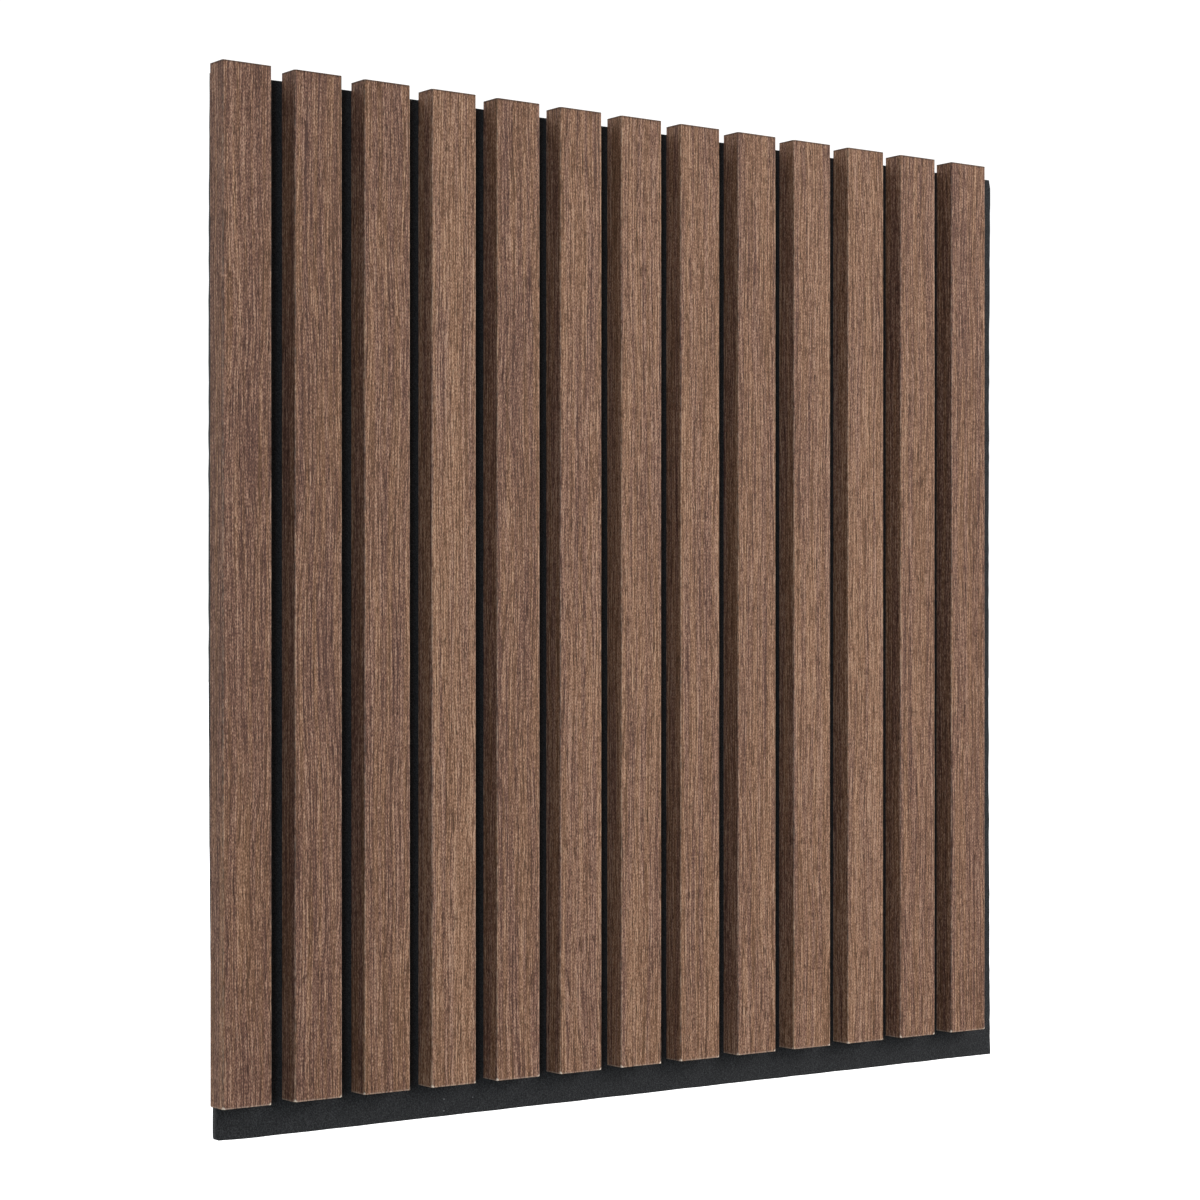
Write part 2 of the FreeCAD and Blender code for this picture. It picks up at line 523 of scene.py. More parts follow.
@dataclass(frozen=True)
class SmokedVeneer:
    """Straight-grained smoked wood, matt oiled, the same stock on every slat."""

    sizes: PanelSizes
    tones: Stops = (
        (0.0, display_colour(42, 28, 22)),
        (0.2, display_colour(71, 47, 38)),
        (0.5, display_colour(125, 91, 73)),
        (0.8, display_colour(180, 139, 113)),
        (1.0, display_colour(212, 175, 147)),
    )
    mauve: Colour = display_colour(128, 91, 79)
    tan: Colour = display_colour(159, 116, 84)
    # Dark colour of the pores, and also of the painted shade along the slats' tops.
    pore_and_shade: Colour = display_colour(56, 38, 29)
    # Pale colour of wear, and of the painted highlight along the arrises.
    worn_and_highlight: Colour = display_colour(240, 219, 197)
    stock_seed: float = 10537.0
    log_length: float = 4000.0
    drift: Layer = Layer((50.0, 50.0, 110.0), 1.0, weight=4.0)
    jitter: Layer = Layer((1.4, 1.4, 3.5), 1.0, weight=0.45)
    broad: Layer = Layer((5.0, 5.0, 240.0), 2.0, weight=0.25)
    streak: Layer = Layer((1.1, 1.1, 90.0), 1.0, weight=0.85)
    line: Layer = Layer((0.6, 0.6, 16.0), 1.0, 0.6, weight=1.0)
    fleck: Layer = Layer((0.5, 0.5, 4.0), 1.0, weight=1.1)
    grit: Layer = Layer((0.45, 0.45, 1.1), 0.0, weight=1.3)
    hue: Layer = Layer((3.0, 3.0, 130.0), 2.0, weight=0.37, shows=(0.36, 0.62))
    crack: Layer = Layer((0.42, 0.42, 7.0), 0.0, weight=0.6, shows=(0.60, 0.70))
    crack_offset: Triple = (7.0, 7.0, 0.0)
    early: Rings = Rings(spacing=2.1, offset=0.0, broken=(0.40, 0.54), weight=0.56)
    late: Rings = Rings(spacing=1.5, offset=31.0, broken=(0.44, 0.56), weight=0.44)
    ring_bend: Layer = Layer((4.0, 4.0, 70.0), 1.0, weight=3.0)
    ring_edge: Span = (0.04, 0.24)
    tone: float = 0.68
    slat_tone: float = 0.16
    slat_hue: float = 0.12
    head_reach: Span = (0.4, 1.2)
    head_painted_shade: float = 0.55
    broken: Layer = Layer((1.0, 1.0, 3.5), 2.0)
    arris_wear_and_highlight: WearAndHighlight = WearAndHighlight(reach=(0.2, 1.0), broken=(0.35, 0.65), share=0.16)
    foot_wear: WearAndHighlight = WearAndHighlight(reach=(0.3, 0.9), broken=(0.3, 0.55), share=0.25)
    corner_wear: WearAndHighlight = WearAndHighlight(reach=(1.0, 2.3), broken=(0.38, 0.5), share=1.0)
    cut_edge_wear: float = 0.8
    roughness: float = 0.62
    streak_rough: float = 0.25
    pore_rough: float = 0.15
    height: float = 0.6
    grain_height: float = 0.3
    pore_depth: float = 0.5
    relief: float = 0.06

    def make(self) -> bpy.types.Material:
        """Builds the material.

        Returns:
            The veneer's material.
        """
        nodes = ShaderNodes("smoked_veneer", {"IOR": 1.45, "Specular IOR Level": 0.15})
        place = nodes.place()
        x, y, z = nodes.split(place)
        column = (x - self.sizes.row_left / MM) / (self.sizes.pitch / MM)
        slat = nodes.calc("FLOOR", column) + self.stock_seed
        own = nodes.node("ShaderNodeTexWhiteNoise", {"noise_dimensions": "1D"}, {"W": slat})
        chance = Signal(nodes, own.outputs["Value"])
        grain = self._grain(nodes, x, y, z + chance * self.log_length)

        broad = nodes.noise(grain, self.broad)
        streak = nodes.noise(grain, self.streak)
        line = nodes.noise(grain, self.line)
        fleck = nodes.noise(grain, self.fleck)
        grit = nodes.noise(place, self.grit)
        tone = (
            self.tone
            + broad.sway(self.broad.weight)
            + streak.sway(self.streak.weight)
            + line.sway(self.line.weight)
            + fleck.sway(self.fleck.weight)
            + grit.sway(self.grit.weight)
            + chance.sway(self.slat_tone)
            - self._rings(nodes, grain, self.early, fleck)
            - self._rings(nodes, grain, self.late, line)
        )
        hue = nodes.noise(grain, self.hue) + chance.sway(self.slat_hue)
        tint = nodes.blend(hue.rise(*self.hue.shows), self.mauve, self.tan)
        colour = nodes.blend(self.hue.weight, nodes.ramp(tone, self.tones), tint)

        crack = nodes.noise(nodes.vector("ADD", grain, self.crack_offset), self.crack)
        pores = crack.rise(*self.crack.shows)
        colour = nodes.blend(pores * self.crack.weight, colour, self.pore_and_shade)
        # Painted shade: a thin dark line along the top of each slat, full within 0.4 mm of the top
        # edge and gone by 1.2 mm below it.
        below_head = (self.sizes.slat_top / MM - z).rise(*self.head_reach) * self.head_painted_shade
        colour = nodes.blend(self.head_painted_shade - below_head, colour, self.pore_and_shade)
        colour = nodes.blend(self._wear_and_highlight(nodes, x, y, z), colour, self.worn_and_highlight)

        rough = self.roughness + streak.sway(self.streak_rough) + pores * self.pore_rough
        grain_height = streak.sway(self.grain_height) + line.sway(self.grain_height)
        height = self.height + grain_height - pores * self.pore_depth
        nodes.dress(colour, rough, height, self.relief)
        return nodes.material

    def _grain(self, nodes: ShaderNodes, x: Signal, y: Signal, z: Signal) -> Signal:
        """Bends the place to follow the grain.

        Args:
            nodes: the material's nodes.
            x: the place along X, in millimetres.
            y: the place along Y.
            z: the place along the log that the slat's veneer was cut from.

        Returns:
            The place in the grain.
        """
        straight = nodes.combine(x, y, z)
        drift = nodes.noise(straight, self.drift).sway(self.drift.weight)
        aside = drift + nodes.noise(straight, self.jitter).sway(self.jitter.weight)
        return nodes.combine(x + aside, y + aside, z)

    def _rings(self, nodes: ShaderNodes, grain: Signal, rings: Rings, noise: Signal) -> Signal:
        """Thin upright lines where growth rings meet the surface.

        Args:
            nodes: the material's nodes.
            grain: the place in the grain.
            rings: how the lines lie.
            noise: what breaks them up.

        Returns:
            How much they darken the wood.
        """
        x, y, _ = nodes.split(grain)
        shifted = nodes.vector("ADD", grain, (rings.offset,) * 3)
        bend = nodes.noise(shifted, self.ring_bend).sway(rings.spacing) * self.ring_bend.weight
        distance = nodes.calc("PINGPONG", (x + y + bend + rings.offset) / rings.spacing, 0.5)
        lines = 1.0 - distance.rise(*self.ring_edge)
        return lines * noise.rise(*rings.broken) * rings.weight

    def _wear_and_highlight(self, nodes: ShaderNodes, x: Signal, y: Signal, z: Signal) -> Signal:
        """Where the veneer is pale: rubbed foot and corners, the cut edge, and the arrises, which
        are partly rubbed and partly a painted highlight.

        Args:
            nodes: the material's nodes.
            x: the place along X, in millimetres.
            y: the place along Y.
            z: the place along Z.

        Returns:
            The share of the pale colour of wear and painted highlight.
        """
        sizes = self.sizes
        across = nodes.calc("WRAP", x - sizes.row_left / MM, sizes.pitch / MM, 0.0)
        half = sizes.slat_width / MM / 2
        to_side = half - (across - half).size()
        to_arris = to_side + (y - sizes.slat_front / MM)
        to_foot = z - sizes.slat_bottom / MM
        broken = nodes.noise(nodes.combine(x, y, z), self.broken)
        worn_and_highlight = nodes.attribute("cut_edge") * self.cut_edge_wear
        # The arrises' pale line is partly rubbed wear and partly a painted highlight; foot,
        # corners and cut edge are wear.
        for distance, pale_edge in (
            (to_arris, self.arris_wear_and_highlight),
            (to_foot, self.foot_wear),
            (to_arris + to_foot, self.corner_wear),
        ):
            near = 1.0 - distance.rise(*pale_edge.reach)
            worn_and_highlight = worn_and_highlight.most(near * broken.rise(*pale_edge.broken) * pale_edge.share)
        return worn_and_highlight


@dataclass(frozen=True)
class PressedFelt:
    """Charcoal needle-punched polyester felt."""

    base: Colour = display_colour(39, 39, 40)
    dark: Colour = display_colour(26, 26, 26)
    pale: Colour = display_colour(72, 72, 73)
    lint: Colour = display_colour(150, 150, 152)
    blotch: Layer = Layer((2.5, 2.5, 2.5), 3.0, 0.6, weight=0.6, shows=(0.2, 0.6))
    upright: Layer = Layer((0.18, 0.3, 2.4), 2.0)
    rising: Layer = Layer((0.2, 0.3, 3.2), 2.0)
    falling: Layer = Layer((3.0, 0.3, 0.2), 2.0)
    rising_slope: float = 0.7
    falling_slope: float = 0.9
    fibre: Layer = Layer((1.0, 1.0, 1.0), weight=0.6, shows=(0.56, 0.72))
    grit: Layer = Layer((0.8, 0.8, 0.8), 1.0, 0.7, weight=0.6, shows=(0.45, 0.7))
    hollow: Span = (0.3, 0.5)
    hollow_painted_shade: float = 0.6
    lint_apart: Triple = (9.0, 9.0, 9.0)
    lint_edge: Span = (0.02, 0.05)
    lint_chance: Span = (0.8, 0.82)
    lint_share: float = 0.8
    blotch_height: float = 0.5
    fibre_height: float = 0.7
    grit_height: float = 0.4
    roughness: float = 0.92
    grit_rough: float = 0.1
    relief: float = 0.35

    def make(self) -> bpy.types.Material:
        """Builds the material.

        Returns:
            The felt's material.
        """
        fixed = {"Specular IOR Level": 0.1, "Sheen Weight": 0.12, "Sheen Roughness": 0.5}
        nodes = ShaderNodes("pressed_felt", fixed)
        place = nodes.place()
        blotch = nodes.noise(place, self.blotch)
        grit = nodes.noise(place, self.grit)
        fibres = self._fibres(nodes, place)
        based = blotch.rise(*self.blotch.shows) * self.blotch.weight + (1 - self.blotch.weight)
        colour = nodes.blend(based, self.dark, self.base)
        # Painted shade: the felt is darker in the hollows of the grit relief, where the bump is
        # lowest.
        raised = grit.rise(*self.hollow) * self.hollow_painted_shade
        colour = nodes.blend(self.hollow_painted_shade - raised, colour, self.dark)
        colour = nodes.cover(colour, grit, self.grit, self.pale)
        colour = nodes.cover(colour, fibres, self.fibre, self.pale)
        spots = nodes.cells(place, self.lint_apart)
        spot = 1.0 - Signal(nodes, spots.outputs["Distance"]).rise(*self.lint_edge)
        pick = nodes.split(Signal(nodes, spots.outputs["Color"]))[0]
        lint = spot * pick.rise(*self.lint_chance)
        colour = nodes.blend(lint * self.lint_share, colour, self.lint)
        rough = self.roughness + grit.sway(self.grit_rough)
        height = (
            blotch * self.blotch_height + fibres * self.fibre_height + grit * self.grit_height
        )
        nodes.dress(colour, rough, height, self.relief)
        return nodes.material

    def _fibres(self, nodes: ShaderNodes, place: Signal) -> Signal:
        """Fine fibres that lie three ways: upright, rising and falling.

        Args:
            nodes: the material's nodes.
            place: the place on the felt.

        Returns:
            The strongest of the three at each place.
        """
        x, y, z = nodes.split(place)
        slope, fall = self.rising_slope, self.falling_slope
        lean = nodes.combine(x + z * slope, y, z - x * slope)
        counter = nodes.combine(x - z * fall, y, z + x * fall)
        upright = nodes.noise(place, self.upright)
        rising = nodes.noise(lean, self.rising)
        return upright.most(rising).most(nodes.noise(counter, self.falling))


@dataclass(frozen=True)
class Coat:
    """One noise of a finish: the colour it lays on, and how it sways roughness and height."""

    layer: Layer
    colour: Colour | None = None
    rough: float = 0.0
    height: float = 0.0


@dataclass(frozen=True)
class CoatedFinish:
    """A finish of one base colour under a few coats of noise."""

    name: str
    fixed: tuple[str, float]
    base: Colour
    coats: tuple[Coat, ...]
    roughness: float
    relief: float

    def make(self) -> bpy.types.Material:
        """Builds the material.

        Returns:
            The finish's material.
        """
        nodes = ShaderNodes(self.name, dict([self.fixed]))
        place = nodes.place()
        colour, rough, height = self.base, self.roughness, 0.0
        for coat in self.coats:
            noise = nodes.noise(place, coat.layer)
            if coat.colour:
                colour = nodes.cover(colour, noise, coat.layer, coat.colour)
            rough = rough + noise.sway(coat.rough)
            height = height + noise * coat.height
        nodes.dress(colour, rough, height, self.relief)
        return nodes.material


SAWN_FIBREBOARD = CoatedFinish(
    name="raw_fibreboard",
    fixed=("Specular IOR Level", 0.2),
    base=display_colour(176, 146, 112),
    coats=(
        Coat(Layer((3.0, 3.0, 3.0), 3.0, 0.5, 0.6, (0.3, 0.7)), display_colour(136, 106, 76)),
        Coat(
            Layer((0.35, 0.25, 0.35), 3.0, 0.7, 0.6, (0.45, 0.8)),
            display_colour(136, 106, 76),
            rough=0.1,
            height=0.6,
        ),
        Coat(Layer((1.1, 0.2, 1.1), 2.0, 0.5, 0.7, (0.56, 0.72)), display_colour(212, 188, 156)),
        Coat(Layer((0.5, 12.0, 0.5), 1.0), height=0.4),
    ),
    roughness=0.86,
    relief=0.12,
)

LOOSE_FIBRE = CoatedFinish(
    name="loose_fibre",
    fixed=("Specular IOR Level", 0.3),
    base=display_colour(38, 38, 40),
    coats=(
        Coat(
            Layer((2.5, 2.5, 2.5), shows=(0.4, 0.75)),
            display_colour(92, 92, 96),
            rough=0.2,
            height=1.0,
        ),
    ),
    roughness=0.7,
    relief=0.01,
)

ZINC_WIRE = CoatedFinish(
    name="zinc_wire",
    fixed=("Metallic", 1.0),
    base=(0.66, 0.67, 0.68, 1.0),
    coats=(
        Coat(
            Layer((1.2, 1.2, 1.2), 3.0, shows=(0.35, 0.7)), (0.42, 0.43, 0.44, 1.0), rough=0.25
        ),
        Coat(Layer((0.05, 0.4, 3.0), 1.0), rough=0.15, height=1.0),
    ),
    roughness=0.445,
    relief=0.02,
)


@dataclass
class Slats:
    """The thirteen slats: bare cores that stay, and folded veneers built in place."""

    sizes: PanelSizes
    arris_radius: float = 0.6 * MM
    columns: int = 160
    rows: int = 12
    weld: float = 1e-3 * MM
    sharp_angle: float = math.radians(35)
    end_pull: float = 4.0
    end_starts: float = 0.995
    end_seed: float = 0.37
    seed_step: float = 41.0
    tear_depth: float = 0.5 * MM
    tear_share: float = 0.6
    tear_change: float = 0.4
    fine: Layer = Layer((0.7, 1.0, 1.0), 2.0, weight=0.15, shows=(0.5, 0.75))
    sparse: Layer = Layer((3.5, 1.0, 1.0), 1.0, weight=0.8, shows=(0.52, 0.68))
    bend_middle: Span = (0.0, 0.5)
    bend_chips: Span = (0.35, 0.6)

    def build(self) -> None:
        """Dresses the cores, and builds and seats one veneer for each."""
        board = SAWN_FIBREBOARD.make()
        tree = self._folded_veneer(SmokedVeneer(self.sizes).make())
        for index, number in enumerate(self.sizes.numbers):
            dress_solid(f"slat_core_{number}", board)
            piece = new_piece(f"veneer_{number}")
            tree.bake(piece, self._inputs(index))
            seat(piece, Slot.VENEER, f"slat_veneer_{number}")

    def _inputs(self, index: int) -> dict[str, float]:
        """The tree's sizes for one slat.

        Args:
            index: the slat, counted from 0 at the left.

        Returns:
            The value of each named input, in the order that the tree takes them in.
        """
        sizes = self.sizes
        return {
            "Left": sizes.row_left + index * sizes.pitch,
            "Back": sizes.felt_low.y,
            "Bottom": sizes.slat_bottom,
            "Width": sizes.slat_width,
            "Depth": sizes.felt_low.y - sizes.slat_front,
            "Length": sizes.slat_top - sizes.slat_bottom,
            "Skin": sizes.skin,
            "Arris Radius": self.arris_radius,
            "Tear Depth": self.tear_depth,
            "Slat": float(index),
        }

    def _folded_veneer(self, material: bpy.types.Material) -> GeometryNodes:
        """The tree that folds a flat grid round a slat and tears its two ends.

        Args:
            material: the veneer's finish.

        Returns:
            The tree.
        """
        tree = GeometryNodes("folded_veneer")
        left, back, bottom, width, depth, length, skin, radius, tear_depth, slat = (
            tree.number(name) for name in self._inputs(0)
        )
        counts = {"Vertices X": self.columns, "Vertices Y": self.rows}
        grid = tree.step("GeometryNodeMeshGrid", inputs={"Size X": 1.0, "Size Y": 1.0, **counts})
        flat_x, flat_y, _ = tree.split(tree.step("GeometryNodeInputPosition"))

        side = depth - radius
        bend = radius * QUARTER_TURN
        face = width - radius * 2
        run = (flat_x + 0.5) * (side * 2 + bend * 2 + face)
        first = ((run - side) / bend).within(0.0, 1.0) * QUARTER_TURN
        second = ((run - side - bend - face) / bend).within(0.0, 1.0) * QUARTER_TURN
        along_face = (run - side - bend).within(0.0, face)
        up_side = run.within(0.0, side)
        down_side = (run - side - bend * 2 - face).within(0.0, side)
        x = left + radius * (1.0 - first.cosine()) + along_face + radius * second.sine()
        out = up_side + radius * first.sine() - radius * (1.0 - second.cosine()) - down_side

        height = flat_y * 2
        direction = tree.calc("SIGN", height)
        reach = 1.0 - (1.0 - height.size()) ** self.end_pull
        at_end = height.size().rise(self.end_starts, 1.0)
        seed = slat + direction * self.end_seed
        share = self.tear_share - direction * self.tear_change
        torn = self._tear(tree, run / MM, seed, (first, second)) * share
        half = length / 2
        z = bottom + half + direction * (reach * half - at_end * torn * tear_depth)

        turn = first + second
        inwards = tree.combine(turn.cosine() * skin, turn.sine() * skin, 0.0)
        aimed = tree.store(grid, "inwards", inwards, ("FLOAT_VECTOR", "POINT"))
        moved = {"Geometry": aimed, "Position": tree.combine(x, back - out, z)}
        outer = tree.step("GeometryNodeSetPosition", inputs=moved)
        offset = {"Offset": tree.stored("inwards", "FLOAT_VECTOR"), "Offset Scale": 1.0}
        inner = tree.node(
            "GeometryNodeExtrudeMesh",
            {"mode": "FACES"},
            {"Mesh": outer, "Individual": False, **offset},
        )
        lined, is_wall = (Signal(tree, inner.outputs[name]) for name in ("Mesh", "Side"))
        marked = tree.store(lined, "cut_edge", is_wall, ("FLOAT", "FACE"))
        joined = tree.node("GeometryNodeJoinGeometry")
        for part in (
            tree.step("GeometryNodeFlipFaces", inputs={"Mesh": marked}),
            tree.store(outer, "cut_edge", 0.0, ("FLOAT", "FACE")),
        ):
            tree.tree.links.new(part.socket, joined.inputs[0])
        close = {"Geometry": joined.outputs[0], "Distance": self.weld}
        merged = tree.step("GeometryNodeMergeByDistance", inputs=close)
        waste = {"Geometry": merged, "Name": "inwards"}
        plain = tree.step("GeometryNodeRemoveAttribute", inputs=waste)
        angle = tree.step("GeometryNodeInputMeshEdgeAngle")
        sharp = tree.calc("GREATER_THAN", angle, self.sharp_angle)
        smooth = {"Geometry": plain, "Shade Smooth": True}
        crisp = {
            "Geometry": tree.step("GeometryNodeSetShadeSmooth", {"domain": "FACE"}, smooth),
            "Selection": sharp,
            "Shade Smooth": False,
        }
        tree.end(tree.step("GeometryNodeSetShadeSmooth", {"domain": "EDGE"}, crisp), material)
        return tree

    def _tear(
        self, tree: GeometryNodes, run: Signal, seed: Signal, bends: tuple[Signal, Signal]
    ) -> Signal:
        """How far the saw tore the end at a place on the way round the slat.

        Args:
            tree: the tree that it is part of.
            run: the way round the slat, in millimetres.
            seed: a number of its own for each end.
            bends: how far each arris has turned the veneer.

        Returns:
            The torn share of the end's depth, 0 to 1.
        """
        place = tree.combine(run, seed * self.seed_step, 0.0)
        fine = tree.noise(place, self.fine)
        sparse = tree.noise(place, self.sparse)
        first, second = (bend * (QUARTER_TURN - bend) for bend in bends)
        in_bend = first.most(second).rise(*self.bend_middle)
        chips = fine.rise(*self.fine.shows) * sparse.rise(*self.sparse.shows)
        torn = fine * self.fine.weight + chips * self.sparse.weight
        return (torn + in_bend * sparse.rise(*self.bend_chips)).least(1.0)


def graded_lines(low: float, high: float, step: float, extra: list[float]) -> np.ndarray:
    """Grid lines at an even step, with extra ones where detail needs them.

    Args:
        low: the first line.
        high: the last line.
        step: about how far apart even lines are.
        extra: further lines. Even lines that come too near to one give way to it.

    Returns:
        The lines, in rising order.
    """
    decimals, slack, too_near = 7, 1e-9, 0.3
    even = np.linspace(low, high, round((high - low) / step) + 1)
    wanted = np.unique(np.round([low, high, *extra], decimals))
    wanted = wanted[(wanted >= low - slack) & (wanted <= high + slack)]
    apart = np.abs(even[:, None] - wanted[None, :]).min(axis=1)
    return np.sort(np.concatenate([even[apart > step * too_near], wanted]))


def ease(value: np.ndarray) -> np.ndarray:
    """Eases from 0 to 1 as the value goes from 0 to 1."""
    held = np.clip(value, 0, 1)
    return held * held * (3 - 2 * held)


@dataclass(frozen=True)
class Waves:
    """Soft random waves over a plane, a sum of a few slanted sines about one length long."""

    length: float
    seed: int
    count: int = 7
    lengths: Span = (0.6, 1.6)

    def at(self, a: np.ndarray, b: np.ndarray) -> np.ndarray:
        """The waves at some places.

        Args:
            a: the first coordinate.
            b: the second coordinate.

        Returns:
            Values about -1 to 1, of the inputs' shape.
        """
        chance = np.random.default_rng(self.seed)
        total = np.zeros(np.broadcast(a, b).shape)
        for _ in range(self.count):
            angle = chance.uniform(0, 2 * math.pi)
            pace = 2 * math.pi / (self.length * chance.uniform(*self.lengths))
            phase = chance.uniform(0, 2 * math.pi)
            total += np.sin((a * math.cos(angle) + b * math.sin(angle)) * pace + phase)
        return total / math.sqrt(self.count)


@dataclass
class FeltSheet:
    """The felt backing: a soft sheet with uneven cut edges, dented by the staples."""

    sizes: PanelSizes
    grid_step: float = 5.0 * MM
    edge_round: float = 0.35 * MM
    edge_lines: tuple[float, ...] = (0.0, 0.05, 0.16, 0.35, 1.0, 2.2, 4.0)
    left_bulge: float = 0.5 * MM
    foot_recess: float = 2.3 * MM
    foot_power: int = 2
    head_recess: float = 0.7 * MM
    head_power: int = 4
    right_lap: float = 0.45 * MM
    right_hollow: float = 1.3 * MM
    bottom_lap: float = 0.5 * MM
    top_slant: float = 0.95 * MM
    corner_radius: float = 1.2 * MM
    nip_width: float = 1.2 * MM
    nip_height: float = 5.0 * MM
    curl_rise: float = 0.5 * MM
    curl_length: float = 20.0 * MM
    warp_reach: float = 9.0 * MM
    ragged: float = 0.10 * MM
    left_waves: Waves = Waves(22 * MM, 3)
    right_waves: Waves = Waves(30 * MM, 5)
    bottom_waves: Waves = Waves(30 * MM, 7)
    top_waves: Waves = Waves(30 * MM, 9)
    lump: float = 0.12 * MM
    lump_waves: Waves = Waves(9 * MM, 11)
    hollow_waves: Waves = Waves(14 * MM, 13)
    hollow_share: float = 0.4
    open_border: float = 1.5 * MM
    dent_depth: float = 1.02 * MM
    dent_slope: float = 1.1 * MM
    dent_lines: tuple[float, ...] = (0.0, 0.4, 0.8, 1.1, 1.8)
    fibre_density: float = 11000.0
    fibre_length: float = 2.6 * MM
    fibre_radius: float = 0.022 * MM
    fibre_seed: int = 4
    fibre_sides: int = 3
    fibre_steps: int = 4
    fibre_sizes: Span = (0.45, 1.3)
    size_seed: float = 7.0
    curl: tuple[tuple[str, Triple], ...] = (
        ("Start", (-0.5, 0.0, -0.03)),
        ("Middle", (0.1, 0.35, 0.22)),
        ("End", (0.5, -0.1, 0.02)),
    )
    crowns: list[tuple[float, float, float, float]] = field(default_factory=list)

    def build(self) -> None:
        """Builds and seats the sheet and its loose fibres."""
        self.crowns = self._find_crowns()
        sheet = new_piece("felt_sheet", self._mesh())
        sheet.data.materials.append(PressedFelt().make())
        fibres = new_piece("felt_fibres", sheet.data.copy())
        self._fibre_tree(LOOSE_FIBRE.make()).bake(fibres, self._fibre_inputs())
        sheet.data.attributes.remove(sheet.data.attributes["fuzz"])
        seat(sheet, Slot.FELT, "felt_backing")
        seat(fibres, Slot.FELT)

    def _find_crowns(self) -> list[tuple[float, float, float, float]]:
        """Reads where the staple crowns lie from the staples' own vertices.

        Returns:
            The left, right, lower and upper side of each crown.
        """
        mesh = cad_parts["back_staples"].data
        points = np.array([vertex.co for vertex in mesh.vertices])
        columns = np.floor((points[:, 0] - self.sizes.row_left) / self.sizes.pitch)
        crowns = []
        for column in np.unique(columns):
            own = points[columns == column]
            heights = np.sort(own[:, 2])
            breaks = np.flatnonzero(np.diff(heights) > self.sizes.pitch) + 1
            for group in np.split(heights, breaks):
                crowns.append((own[:, 0].min(), own[:, 0].max(), group.min(), group.max()))
        return crowns

    def _lines(self) -> tuple[np.ndarray, np.ndarray]:
        """The grid lines of the sheet.

        Returns:
            The lines across and the lines upwards.
        """
        low, high = self.sizes.felt_low, self.sizes.felt_high
        edge = [offset * MM for offset in self.edge_lines]
        across = [low.x + offset for offset in edge] + [high.x - offset for offset in edge]
        upwards = [low.z + offset for offset in edge] + [high.z - offset for offset in edge]
        upwards += [high.z - self.nip_height]
        for left, right, lower, upper in self.crowns:
            for offset in (line * MM for line in self.dent_lines):
                across += [left - offset, right + offset]
                upwards += [lower - offset, upper + offset]
        return (
            graded_lines(low.x, high.x, self.grid_step, across),
            graded_lines(low.z, high.z, self.grid_step, upwards),
        )

    def _outline(self, x: np.ndarray, z: np.ndarray) -> tuple[np.ndarray, np.ndarray]:
        """Moves the even grid's borders to where the knife cut the felt.

        Args:
            x: the even grid's places across.
            z: the even grid's places upwards.

        Returns:
            The cut sheet's places across and upwards.
        """
        low, high = self.sizes.felt_low, self.sizes.felt_high
        inwards = (x - low.x, high.x - x, z - low.z, high.z - z)
        near_left, near_right, near_bottom, near_top = (
            1 - ease(way / self.warp_reach) for way in inwards
        )
        up = (z - (low.z + high.z) / 2) / ((high.z - low.z) / 2)
        left = self.foot_recess * np.clip(-up, 0, 1) ** self.foot_power
        left = left + self.head_recess * np.clip(up, 0, 1) ** self.head_power
        left += self.ragged * self.left_waves.at(z, z * 0) - self.left_bulge
        radius = self.corner_radius
        above = np.clip(z - low.z, 0, radius)
        left += radius - np.sqrt(radius**2 - (radius - above) ** 2)
        nip = np.clip((z - high.z + self.nip_height) / self.nip_height, 0, 1)
        right = self.right_lap + self.right_hollow * up**2 - self.nip_width * nip
        right += self.ragged * self.right_waves.at(z, z * 0)
        bottom = self.curl_rise * (1 - ease((x - low.x) / self.curl_length))
        bottom += self.ragged * self.bottom_waves.at(x, x * 0) - self.bottom_lap
        top = self.top_slant * (high.x - x) / (high.x - low.x)
        top += self.ragged * (self.top_waves.at(x, x * 0) - 1)
        return (
            x + left * near_left + right * near_right,
            z + bottom * near_bottom + top * near_top,
        )

    def _edge_inset(self, x: np.ndarray, z: np.ndarray) -> np.ndarray:
        """How far both faces fall back near the cut edge, where the felt is rounded.

        Args:
            x: the even grid's places across.
            z: the even grid's places upwards.

        Returns:
            The depth at each place.
        """
        low, high = self.sizes.felt_low, self.sizes.felt_high
        nearest = np.minimum.reduce([x - low.x, high.x - x, z - low.z, high.z - z])
        inside = np.clip(self.edge_round - nearest, 0, self.edge_round)
        return self.edge_round - np.sqrt(self.edge_round**2 - inside**2)

    def _open(self, x: np.ndarray, z: np.ndarray) -> np.ndarray:
        """Where the felt's front lies open between, below and beside the slats.

        Args:
            x: the even grid's places across.
            z: the even grid's places upwards.

        Returns:
            1 where it is open, 0 where a slat covers it, with a soft border.
        """
        sizes = self.sizes
        across = np.mod(x - sizes.row_left, sizes.pitch)
        outside = np.maximum(across - sizes.slat_width, 0)
        outside = np.minimum(outside, sizes.pitch - across)
        past_row = np.maximum(x - (sizes.row_left + len(sizes.numbers) * sizes.pitch), 0)
        past_ends = np.maximum(sizes.slat_bottom - z, 0) + np.maximum(z - sizes.slat_top, 0)
        return ease((np.maximum(outside, past_row) + past_ends) / self.open_border)

    def _dents(self, x: np.ndarray, z: np.ndarray) -> np.ndarray:
        """How deep the staples have drawn in the felt's back.

        Args:
            x: the even grid's places across.
            z: the even grid's places upwards.

        Returns:
            The depth at each place.
        """
        depth = np.zeros(np.broadcast(x, z).shape)
        for left, right, lower, upper in self.crowns:
            beside = np.maximum(np.maximum(left - x, x - right), 0)
            beyond = np.maximum(np.maximum(lower - z, z - upper), 0)
            away = np.hypot(beside, beyond)
            depth = np.maximum(depth, self.dent_depth * (1 - ease(away / self.dent_slope)))
        return depth

